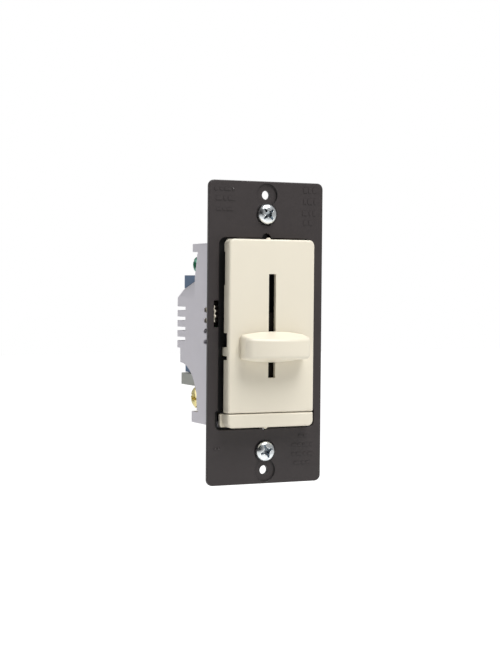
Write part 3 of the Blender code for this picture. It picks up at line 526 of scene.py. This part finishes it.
def finish_materials():
    """One material for each finish in the record, and a dark zinc as painted shade for the wells of screws.
    """
    tan, brown, red, gold = (0.65, 0.5, 0.3), (0.12, 0.04, 0.02), (0.5, 0.03, 0.02), (0.6, 0.42, 0.1)
    resistor_rings = ((0.36, brown), (0.42, tan), (0.46, red), (0.52, tan), (0.56, gold), (0.62, tan))
    return {
        "brown_black_paint": surface(
            "strap paint", (0.038, 0.031, 0.031), 0.42, mottle=(220, 0.14), spread=0.08, grain=(1400, 0.02)
        ),
        "ivory_plastic": surface(
            "ivory plastic and painted highlight", (0.85, 0.79, 0.655), 0.36, mottle=(90, 0.015), grain=(2600, 0.008)
        ),
        "grey_plastic": surface(
            "grey plastic", (0.68, 0.66, 0.71), 0.5, mottle=(160, 0.04), grain=(1800, 0.02)
        ),
        # painted shade: the barrier's grey is darker and greener than the housing's grey plastic
        "barrier_plastic": surface(
            "barrier plastic with painted shade", (0.36, 0.37, 0.34), 0.55, mottle=(200, 0.06), grain=(1500, 0.02)
        ),
        "blue_plastic": surface(
            "blue plastic", (0.085, 0.15, 0.26), 0.45, mottle=(220, 0.08), grain=(1600, 0.015)
        ),
        "black_plastic": surface(
            "black plastic", (0.006, 0.004, 0.003), 0.5, mottle=(300, 0.1), grain=(1800, 0.015), specular=0.1
        ),
        "black_aluminium": surface(
            "black anodising and painted shade", (0.02, 0.02, 0.021), 0.45, 0.3, mottle=(500, 0.1), grain=(1200, 0.01)
        ),
        "zinc_painted_shade": plated_metal("zinc in painted shade", (0.16, 0.20, 0.24), 0.35, 1300),
        "zinc": plated_metal("zinc plating", (0.86, 0.91, 0.95), 0.24, 1300),
        "brass": plated_metal("brass", (0.93, 0.79, 0.36), 0.27, 900),
        "green_screw": plated_metal("green plating", (0.17, 0.44, 0.32), 0.34, 1000),
        "copper": plated_metal("copper", (0.78, 0.38, 0.22), 0.3, 800),
        "fibre": surface(
            "vulcanised fibre", (0.34, 0.11, 0.06), 0.75, mottle=(700, 0.18), grain=(1600, 0.03)
        ),
        "board": woven_board("circuit board", (0.05, 0.2, 0.08)),
        "phenolic": surface("phenolic", (0.25, 0.13, 0.05), 0.55, mottle=(600, 0.15), grain=(1500, 0.02)),
        "ferrite": surface("iron powder", (0.10, 0.10, 0.11), 0.7, mottle=(1800, 0.25), grain=(2500, 0.03)),
        "mica": surface("mica", (0.7, 0.68, 0.6), 0.3, mottle=(350, 0.08), grain=(500, 0.01)),
        "capacitor_film": surface(
            "film capacitor", (0.6, 0.42, 0.05), 0.3, mottle=(250, 0.08), grain=(900, 0.03)
        ),
        "resistor_paint": banded("resistor lacquer", tan, resistor_rings),
    }


SLOT_OF_NODE = {part["node"]: part["material_slot"] for part in frame["record"]["subparts"]}
FINISH_MATERIALS = finish_materials()


# ---------------------------------------------------------------- strap


STRAP_X, STRAP_Y, STRAP_Z = box_of("mounting_strap")
PANEL_X, PANEL_Y, PANEL_Z = box_of("face_panel")
BAR_X, BAR_Y, BAR_Z = box_of("push_bar")
STRAP_FRONT = STRAP_Y[0]
FACE_Y = BAR_Y[0]
BOX_SCREW_Z = box_of("mounting_screw_upper")[2][1] - MOUNTING_SCREW_HEAD


def mark_rows():
    """Rows of plain raised dashes, generic stand-ins for the strap's moulded notes."""
    rows = []
    # Each row: the lower left corner of its first dash, the widths of its dashes, and their height
    lines = (
        ((-20.2, 49.6), (1.6, 1.2, 2.4, 1.1), 0.9),
        ((-19.6, 46.2), (2.4, 1.2, 2.8), 1.5),
        ((-19.4, 42.6), (1.8, 1.2, 2.6), 0.9),
        ((14.4, 49.6), (1.5, 1.2, 1.6), 2.0),
        ((14.4, 45.6), (1.2, 2.0, 1.0), 2.0),
        ((14.0, 41.6), (2.2, 1.0, 1.4), 1.7),
        ((14.4, 38.2), (1.6, 1.8), 1.7),
        ((13.4, -37.2), (1.4, 1.6), 1.0),
        ((10.6, -40.4), (2.0, 1.4, 2.2, 1.4), 1.0),
        ((10.6, -43.6), (1.4, 2.2, 1.2, 2.2), 1.0),
        ((11.6, -46.8), (2.4, 1.4, 1.8), 1.0),
        ((-19.8, -40.6), (0.8, 1.0), 0.9),
    )
    for (x, z), widths, height in lines:
        for width in widths:
            corner = 0.3 * min(width, height)
            outline = rounded_rectangle((x, x + width), (z, z + height), corner, corner, 3)
            rows.append(prism(outline, "Y", (STRAP_FRONT - DASH_HEIGHT, STRAP_FRONT + 0.4)))
            x += width + DASH_SPACE
    return rows


def strap_openings():
    """The cutters for the strap's window, the round recesses and the holes in their floors."""
    behind = STRAP_Y[1] + 2
    floor = STRAP_FRONT + RECESS_DEPTH
    ends = (1, -1)
    outlines = [
        rectangle_outline(OPENING_X, OPENING_Z, 1.0, 2.4),
        rectangle_outline(BAR_OPENING_X, BAR_OPENING_Z, 2.0, 1.0),
        rectangle_outline(WHEEL_WINDOW_X, WHEEL_WINDOW_Z, 0.3, 0.3, 3),
    ]
    outlines += [round_outline(radius, (0, z)) for radius, z in NOTCHES]
    cutters = [[opening(outline, STRAP_FRONT, behind, 0.2)] for outline in outlines]
    for z in (PLATE_HOLE_Z, BOX_SCREW_Z):
        outlines = [round_outline(RECESS_RADIUS, (0, end * z)) for end in ends]
        cutters.append([opening(outline, STRAP_FRONT, floor, 0.08) for outline in outlines])
    for radius, z in ((PLATE_HOLE_RADIUS, PLATE_HOLE_Z), (BOX_HOLE_RADIUS, BOX_SCREW_Z)):
        cutters.append([opening(round_outline(radius, (0, end * z)), floor, behind, 0.06) for end in ends])
    return cutters


def mounting_strap():
    """The painted strap. The walls of its wall plate holes and recesses are painted black as painted shade.
    """
    front, back = STRAP_FRONT, 0.0
    edge = [(front + depth, -inset) for depth, inset in rim(0.3)] + [(back - 0.2, 0), (back, -0.2)]
    seats = [
        block((x, x + SEAT_SIZE[0]), (back - 0.5, SEAT_HEIGHT), (z, z + SEAT_SIZE[1]))
        for x in SEAT_LOW_X
        for z in SEAT_LOW_Z
    ]
    collar = ((back - 0.5, COLLAR_RADIUS), (0.5, COLLAR_RADIUS), (0.8, COLLAR_RADIUS - 0.3))
    collars = [turned(collar, (0, end * PLATE_HOLE_Z), "Y") for end in (1, -1)]
    strap = piece(
        "mounting_strap",
        "chassis",
        layers(rectangle_outline(STRAP_X, STRAP_Z, STRAP_CORNER, STRAP_CORNER, 10), edge, "Y"),
        add=[seats, collars, mark_rows()],
        cut=strap_openings(),
        edge=0,
    )

    # painted shade: the faces of the wall plate holes and of the recess walls get the black finish
    def painted_shade_walls(centre, normal):
        reach = math.hypot(centre.x, abs(centre.z) - PLATE_HOLE_Z)
        in_hole = 0 < reach < PLATE_HOLE_RADIUS + 0.2
        in_recess_wall = RECESS_RADIUS - 0.15 < reach < RECESS_RADIUS + 0.15
        return normal.y > -0.5 and (in_hole or in_recess_wall)

    paint_faces(strap, "black_aluminium", painted_shade_walls)


# ---------------------------------------------------------------- screws and rivets


def cross_recess(centre, along, degrees, arm, half_width, square, axis):
    """A cross recess with a square well in its middle, as on a combination drive."""
    arms = [(arm, -half_width), (arm, half_width), (square, square)]
    points = []
    for turn in range(4):
        points += turned_points([(centre[0] + u, centre[1] + v) for u, v in arms], 90 * turn, centre)
    return prism(turned_points(points, degrees, centre), axis, along)


def dome(under, height, radius, flat, steps=8):
    """The profile of a domed head from under it to its crown. The head stands towards the sign of height."""
    side = height * 0.35
    curve = arc((0, 0), (radius - flat, height - side), 0, 90, steps)
    return [(under, radius)] + [(under + side + rise, flat + out) for out, rise in curve]


def mounting_screws():
    """The captive screws: a threaded shank with a plain point, and a domed head with a cross recess and a
    deeper square well. The recess is painted darker than the head, as painted shade."""
    for level, degrees in (("upper", 42), ("lower", 22)):
        node = f"mounting_screw_{level}"
        x, y, z = box_of(node)
        centre = (0, middle(z))
        under = STRAP_FRONT + 0.4
        crown, tip = y
        cross = cross_recess(centre, (crown - 1, crown + 1.0), degrees, 2.4, 0.28, 0.6, "Y")
        well = cross_recess(centre, (crown - 1, crown + 2.4), degrees, 1.1, 0.75, 0.75, "Y")
        screw = piece(
            node,
            "chassis",
            turned([(tip - 0.6, 1.1), (tip - 1.4, 1.35), (under - 0.2, 1.35)], centre, "Y", 24),
            add=[
                [threaded(1.65, 0.28, THREAD_PITCH, (tip - 1.2, under - 0.1), centre, "Y")],
                [turned(dome(under, crown - under, middle((-x[0], x[1])), 1.2), centre, "Y")],
            ],
            cut=[[cross], [well]],
            edge=SCREW_EDGE,
            segments=2,
        )

        def shade_painted_recess(place, normal):
            near_axis = math.hypot(place.x, place.z - centre[1]) < 2.5
            return near_axis and crown + 0.7 < place.y < under - 0.05

        # painted shade: the faces inside the cross recess and the well get the dark zinc
        paint_faces(screw, "zinc_painted_shade", shade_painted_recess)


def side_screws():
    """The binding screws of the terminals and the ground, each with a slot and a square well in its head."""
    for node, degrees in (("line_terminal_screw", 14), ("load_terminal_screw", -24), ("ground_screw", 38)):
        x, y, z = box_of(node)
        centre = (middle(y), middle(z))
        radius = (z[1] - z[0]) / 2
        tip, outer = sorted(x, key=abs)
        sign = math.copysign(1, outer)
        under = outer - sign * BINDING_HEAD_HEIGHT
        shank = radius * 0.46
        slot = [(-radius - 1, -0.45), (radius + 1, -0.45), (radius + 1, 0.45), (-radius - 1, 0.45)]
        slot = turned_points([(centre[0] + u, centre[1] + v) for u, v in slot], degrees, centre)
        piece(
            node,
            "chassis",
            threaded(shank, 0.2, THREAD_PITCH, (tip, under + sign * 0.1), centre, "X"),
            add=[[turned(dome(under, sign * BINDING_HEAD_HEIGHT, radius, radius * 0.4), centre, "X")]],
            cut=[
                [prism(slot, "X", (outer - sign * 0.8, outer + sign))],
                [cross_recess(centre, (outer - sign * 1.2, outer + sign), degrees + 45, 1.3, 0.5, 0.6, "X")],
            ],
            edge=SCREW_EDGE,
            segments=2,
        )


def rear_fasteners():
    """The rivets of the heat sink plate, and the screws that hold the housing to it."""
    for node in SLOT_OF_NODE:
        if not node.startswith(("plate_rivet", "housing_screw")):
            continue
        x, y, z = box_of(node)
        centre = (middle(x), middle(z))
        is_screw = node.startswith("housing_screw")
        height, shank = (1.5, 1.05) if is_screw else (1.1, 1.0)
        under = y[1] - height
        recess = []
        if is_screw:
            recess.append([cross_recess(centre, (y[1] - 0.9, y[1] + 1), 20, 1.2, 0.3, 0.4, "Y")])
        piece(
            node,
            "chassis",
            turned([(y[0], 0.7 * shank), (y[0] + 0.4, shank), (under + 0.1, shank)], centre, "Y", 24),
            add=[[turned(dome(under, height, (x[1] - x[0]) / 2, 0.5), centre, "Y", 36)]],
            cut=recess,
            edge=0.05,
            segments=2,
        )


def knurled_outline(grow):
    """The trim wheel's rim: a circle with a shallow groove between one knurl and the next."""
    steps = KNURLS * 10
    points = []
    for step in range(steps):
        turn = 2 * math.pi * step / steps
        groove = KNURL_DEPTH * (0.5 - 0.5 * math.cos(KNURLS * turn)) ** 1.5
        reach = WHEEL_RADIUS + grow - groove
        points.append((WHEEL_CENTRE[0] + reach * math.cos(turn), WHEEL_CENTRE[1] + reach * math.sin(turn)))
    return points


def trim_wheel():
    """The knurled wheel, black, with an ivory shoulder on its outer side as a painted highlight on the
    knurls, and a thin line between the two.
    """
    left, axle_end = box_of("trim_wheel")[0]
    right = left + WHEEL_WIDTH
    shoulder = [(left + along, -inset) for along, inset in rim(0.25, 3)] + [(left + 0.55, 0)]
    line = [(left + 0.7, -0.15)]
    tread = [(left + 0.85, 0), (right - 0.2, 0), (right, -0.2)]
    wheel = piece(
        "trim_wheel",
        "trim_wheel_body",
        layers(knurled_outline, shoulder + line + tread, "X"),
        add=[[disc(0.9, WHEEL_CENTRE, "X", (right - 0.5, axle_end))]],
        edge=0,
    )
    # painted highlight: the knurls' outer shoulder gets the ivory finish to stand for their bright glints
    paint_faces(wheel, "ivory_plastic", lambda place, normal: place.x < left + 0.6)


# ---------------------------------------------------------------- front parts


def face_shell(z, low_radius, high_radius, rear):
    """The outer form shared by the panel and the push bar: straight sides and a softly rounded front edge."""
    stations = [(rear, 0.0)]
    for out, depth in arc((0, 0), (FACE_EDGE_ROUND, FACE_EDGE_ROUND), 0, 90, 6):
        stations.append((FACE_Y + FACE_EDGE_ROUND - depth, FACE_EDGE_ROUND - out))
    loops = []
    for y, inset in stations:
        outline = rounded_rectangle(
            (-FACE_HALF_WIDTH + inset, FACE_HALF_WIDTH - inset),
            (z[0] + inset, z[1] - inset),
            max(low_radius - inset, 0.12),
            max(high_radius - inset, 0.12),
        )
        loops.append([at(u, v, y, "Y") for u, v in outline])
    return loft(loops)


def snap_tabs():
    """The two tabs at the skirt's sides, which hook behind the heat sink plate."""
    hook = [(HALF_INSIDE, TAB_FRONT), (FACE_HALF_WIDTH, TAB_FRONT), (FACE_HALF_WIDTH, STRAP_FRONT)]
    hook += [(TAB_OUTSIDE, STRAP_FRONT), (TAB_OUTSIDE, TAB_HOOK[0]), (TAB_OUTSIDE + 0.85, TAB_HOOK[0])]
    hook += [(HALF_INSIDE + 0.4, TAB_HOOK[1]), (HALF_INSIDE, TAB_HOOK[1])]
    return [prism([(side * x, y) for x, y in hook], "Z", TAB_Z) for side in (-1, 1)]


def face_panel():
    """The ivory shell with its slot, the notches in its skirt, two tabs, two pegs and a nub on top."""
    hollow = block(
        (-HALF_INSIDE, HALF_INSIDE), (FACE_Y + SKIN, 2.0), (PANEL_Z[0] + SKIN, PANEL_Z[1] - SKIN - 0.65)
    )
    slot = block(SLOT_X, (FACE_Y - 1, FACE_Y + SKIN + 1), SLOT_Z)
    skirt_cuts = []
    for x in both_sides(HALF_INSIDE - 1, FACE_HALF_WIDTH + 1):
        skirt_cuts.append(block(x, SKIRT_NOTCH_Y, (TAB_Z[1] + 0.1, 0.1)))
        skirt_cuts.append(block(x, SKIRT_NOTCH_Y, (-9.25, TAB_Z[0] - 0.1)))
        skirt_cuts.append(block(x, (SKIRT_REAR - 0.6, 1.0), (16.8, 28.3)))
    pegs = [block(x, (SKIRT_REAR - 1, 1.6), PEG_Z) for x in both_sides(*PEG_X)]
    nub_place = (0, PANEL_Z[1] - PANEL_NUB_RADIUS)
    nub = disc(PANEL_NUB_RADIUS, nub_place, "Y", (SKIRT_REAR - 1.2, SKIRT_REAR), 24)
    piece(
        "face_panel",
        "chassis",
        face_shell((PANEL_Z[0], PANEL_Z[1] - 0.65), 0.5, 2.0, SKIRT_REAR),
        add=[snap_tabs(), pegs, [nub]],
        cut=[[hollow], [slot], skirt_cuts],
        edge=0.1,
    )


def push_bar():
    """The hollow ivory bar under the panel, with a flange at its rear and a nub below it."""
    flange = rounded_rectangle(BAR_X, (BAR_BOTTOM, BAR_Z[1] - 0.1), BAR_FLANGE_CORNER, 0.6)
    nub_y = (BAR_FLANGE_Y[0] - 0.9, BAR_FLANGE_Y[1] - 0.1)
    nub = disc(BAR_NUB_RADIUS, (0, BAR_BOTTOM - 0.05), "Y", nub_y, 24)
    hollow = block((-HALF_INSIDE, HALF_INSIDE), (FACE_Y + SKIN, 2.5), BAR_HOLLOW_Z)
    piece(
        "push_bar",
        "push_bar_body",
        face_shell((BAR_BOTTOM, BAR_Z[1]), 1.9, 0.3, BAR_FLANGE_Y[0] + 0.4),
        add=[[prism(flange, "Y", BAR_FLANGE_Y)], [nub]],
        cut=[[hollow]],
        edge=0.12,
    )


def round_off(distance, reach, depth):
    """How far a surface falls away at a distance from its end, for an elliptic rounding."""
    if distance >= reach:
        return 0.0
    return depth * (1 - math.sqrt(max(1 - (1 - distance / reach) ** 2, 0.0)))


def knob_half_section(rear, front, tall, band):
    """Half of the knob's section in Y and Z: a tall rear, a sloping face, and the edge of the front band. The
    edge is a quadratic curve from start to end, drawn towards pull."""
    start, pull, end = (front + 1.3, band + 0.35), (front + 0.1, band + 0.05), (front, band - 1.0)
    points = [(rear, tall - 0.25), (rear - 0.1, tall - 0.05), (rear - 0.3, tall)]
    steps = 6
    for step in range(steps + 1):
        t = step / steps
        weights = ((1 - t) ** 2, 2 * t * (1 - t), t * t)
        points.append(tuple(sum(w * p[i] for w, p in zip(weights, (start, pull, end))) for i in range(2)))
    return points


def knob_stations(half_width, middle_front, middle_half_height):
    """Where the knob's sections stand across it, and each one's front, half height and half band height. They
    are closer at the rounded ends."""
    steps = 36
    for step in range(-steps, steps + 1):
        share = math.sin(math.pi / 2 * step / steps)
        distance = half_width * (1 - abs(share))
        bulge = 1 - share * share
        corner = round_off(distance, 0.9, 0.8)
        front = KNOB_END_FRONT + (middle_front - KNOB_END_FRONT) * bulge + round_off(distance, 2.2, 1.3)
        tall = KNOB_END_HALF_HEIGHT + (middle_half_height - KNOB_END_HALF_HEIGHT) * bulge - corner
        band = KNOB_BAND_END + (KNOB_BAND_MIDDLE - KNOB_BAND_END) * bulge - corner
        yield half_width * share, front, tall, band


def slide_knob():
    """Lofted from side to side. Its front and its height are arched, and its ends are rounded."""
    x, y, z = box_of("slide_knob")
    height = middle(z)
    rear = FACE_Y - 0.3
    loops = []
    for across, front, tall, band in knob_stations(x[1], y[0], (z[1] - z[0]) / 2):
        upper = knob_half_section(rear, front, tall, band)
        lower = knob_half_section(rear, front, tall, min(band + KNOB_BAND_DROP, tall - 0.6))
        section = upper + [(v, -w) for v, w in reversed(lower)]
        loops.append([Vector((across, v, height + w)) for v, w in section])
    stem_z = (height - STEM_HALF_HEIGHT, height + STEM_HALF_HEIGHT)
    tenon_z = (height - TENON_HALF_HEIGHT, height + TENON_HALF_HEIGHT)
    stem = block((-1.0, 1.0), (rear - 1, FACE_Y + 1.6), stem_z)
    tenon = block((-0.5, 0.5), (rear - 1, TENON_REAR), tenon_z)
    piece("slide_knob", "slider", loft(loops), add=[[stem], [tenon]], edge=0)


def coil(centre, along, radius, wire, turns, per_turn=24, sides=10):
    """A helical wire round an axis along Y."""
    steps = turns * per_turn
    section = circle(wire, steps=sides)
    loops = []
    for step in range(steps + 1):
        turn = 2 * math.pi * step / per_turn
        out = Vector((math.cos(turn), 0, math.sin(turn)))
        heart = Vector((centre[0], along[0] + (along[1] - along[0]) * step / steps, centre[1])) + radius * out
        loops.append([Vector((heart.x + out.x * u, heart.y + v, heart.z + out.z * u)) for u, v in section])
    return loft(loops)


def return_springs():
    """The two coil springs behind the push bar, which shorten as it goes in."""
    for node in ("return_spring_left", "return_spring_right"):
        x, y, z = box_of(node)
        along = (y[0] + SPRING_WIRE_RADIUS, y[1] - SPRING_WIRE_RADIUS)
        radius = (x[1] - x[0]) / 2 - SPRING_WIRE_RADIUS
        shape = coil((middle(x), middle(z)), along, radius, SPRING_WIRE_RADIUS, SPRING_TURNS)
        spring = piece(node, "chassis", shape, edge=0)
        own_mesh(spring)


# ---------------------------------------------------------------- the rest of the CAD nodes


def carried_nodes():
    """The CAD nodes that keep their shape: their finish's material, and soft edges where edges show."""
    rebuilt = {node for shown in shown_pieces() for node in shown.get("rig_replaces", [])}
    for name, shown in frame["nodes"].items():
        if name in rebuilt:
            continue
        shown.data.materials.clear()
        shown.data.materials.append(FINISH_MATERIALS[SLOT_OF_NODE[name]])
        join_facets(shown)
        if name in WIRES:
            smooth = shown.modifiers.new("round wire", "SUBSURF")
            smooth.levels = smooth.render_levels = 2
        else:
            soften(shown, FINE_EDGE)


# ---------------------------------------------------------------- camera, light and floor


def camera():
    turn, rise, roll = (math.radians(a) for a in (CAMERA_AZIMUTH, CAMERA_ELEVATION, CAMERA_ROLL))
    back = Vector((math.sin(turn) * math.cos(rise), -math.cos(turn) * math.cos(rise), math.sin(rise)))
    right = Vector((math.cos(turn), math.sin(turn), 0))
    up = back.cross(right)
    tilted_right = right * math.cos(roll) + up * math.sin(roll)
    tilted_up = up * math.cos(roll) - right * math.sin(roll)
    made = bpy.data.objects.new("camera", bpy.data.cameras.new("camera"))
    bpy.context.scene.collection.objects.link(made)
    made.matrix_world = Matrix(
        [
            [tilted_right[i], tilted_up[i], back[i], CAMERA_AIM[i] + back[i] * CAMERA_DISTANCE]
            for i in range(3)
        ]
        + [[0, 0, 0, 1]]
    )
    made.data.lens = CAMERA_LENS
    made.data.shift_x, made.data.shift_y = CAMERA_SHIFT
    made.data.clip_start, made.data.clip_end = 0.01, 100
    bpy.context.scene.camera = made


def area_light(name, place, aim, size, watts):
    lamp = bpy.data.lights.new(name, "AREA")
    lamp.shape = "DISK"
    lamp.size = size
    lamp.energy = watts
    made = bpy.data.objects.new(name, lamp)
    made.location = place
    made.rotation_mode = "QUATERNION"
    made.rotation_quaternion = (Vector(aim) - Vector(place)).to_track_quat("-Z", "Y")
    bpy.context.scene.collection.objects.link(made)


def room():
    """A white room whose left front side is darker. The camera sees it as plain white."""
    bpy.context.scene.view_settings.view_transform = "Standard"
    world = bpy.data.worlds.new("studio")
    bpy.context.scene.world = world
    world.use_nodes = True
    tree = world.node_tree
    tree.nodes.clear()
    direction = tree.nodes.new("ShaderNodeTexCoord").outputs["Generated"]
    facing = tree.nodes.new("ShaderNodeVectorMath")
    facing.operation = "DOT_PRODUCT"
    facing.inputs[1].default_value = Vector(DARK_SIDE).normalized()
    tree.links.new(direction, facing.inputs[0])
    shade = tree.nodes.new("ShaderNodeMapRange")
    shade.interpolation_type = "SMOOTHSTEP"
    shade.inputs["From Min"].default_value = DARK_SIDE_COSINES[0]
    shade.inputs["From Max"].default_value = DARK_SIDE_COSINES[1]
    shade.inputs["To Min"].default_value = ROOM_STRENGTH
    shade.inputs["To Max"].default_value = 0.0
    tree.links.new(facing.outputs["Value"], shade.inputs["Value"])
    light = tree.nodes.new("ShaderNodeBackground")
    tree.links.new(shade.outputs["Result"], light.inputs["Strength"])
    backdrop = tree.nodes.new("ShaderNodeBackground")
    seen = tree.nodes.new("ShaderNodeLightPath").outputs["Is Camera Ray"]
    choose = tree.nodes.new("ShaderNodeMixShader")
    tree.links.new(seen, choose.inputs[0])
    tree.links.new(light.outputs[0], choose.inputs[1])
    tree.links.new(backdrop.outputs[0], choose.inputs[2])
    for node in (light, backdrop):
        node.inputs["Color"].default_value = (1, 1, 1, 1)
    output = tree.nodes.new("ShaderNodeOutputWorld")
    tree.links.new(choose.outputs[0], output.inputs["Surface"])


def floor():
    """A pale floor well below the dimmer, with a soft glow."""
    low, high = -FLOOR_HALF_SIZE, FLOOR_HALF_SIZE
    corners = [(low, low), (high, low), (high, high), (low, high)]
    mesh = bpy.data.meshes.new("floor")
    mesh.from_pydata([(u, v, FLOOR_Z) for u, v in corners], [], [(0, 1, 2, 3)])
    made = bpy.data.objects.new("floor", mesh)
    bpy.context.scene.collection.objects.link(made)
    paint = surface("pale floor", (0.92, 0.92, 0.91), 0.8, mottle=(3, 0.01), grain=(50, 0.05))
    tree = paint.node_tree
    shader = tree.nodes["Principled BSDF"]
    shader.inputs["Emission Color"].default_value = (1, 1, 1, 1)
    glow = tree.nodes.new("ShaderNodeMapRange")
    glow.inputs["To Min"].default_value = FLOOR_GLOW[0]
    glow.inputs["To Max"].default_value = FLOOR_GLOW[1]
    seen = tree.nodes.new("ShaderNodeLightPath").outputs["Is Camera Ray"]
    tree.links.new(seen, glow.inputs["Value"])
    tree.links.new(glow.outputs["Result"], shader.inputs["Emission Strength"])
    mesh.materials.append(paint)
    made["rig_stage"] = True


def studio():
    """The room, a soft key light from above, a weak one from the left rear, and the floor."""
    room()
    area_light(*KEY_LIGHT)
    area_light(*REAR_LIGHT)
    floor()


def main():
    mounting_strap()
    mounting_screws()
    side_screws()
    rear_fasteners()
    trim_wheel()
    face_panel()
    push_bar()
    slide_knob()
    return_springs()
    carried_nodes()
    camera()
    studio()


main()
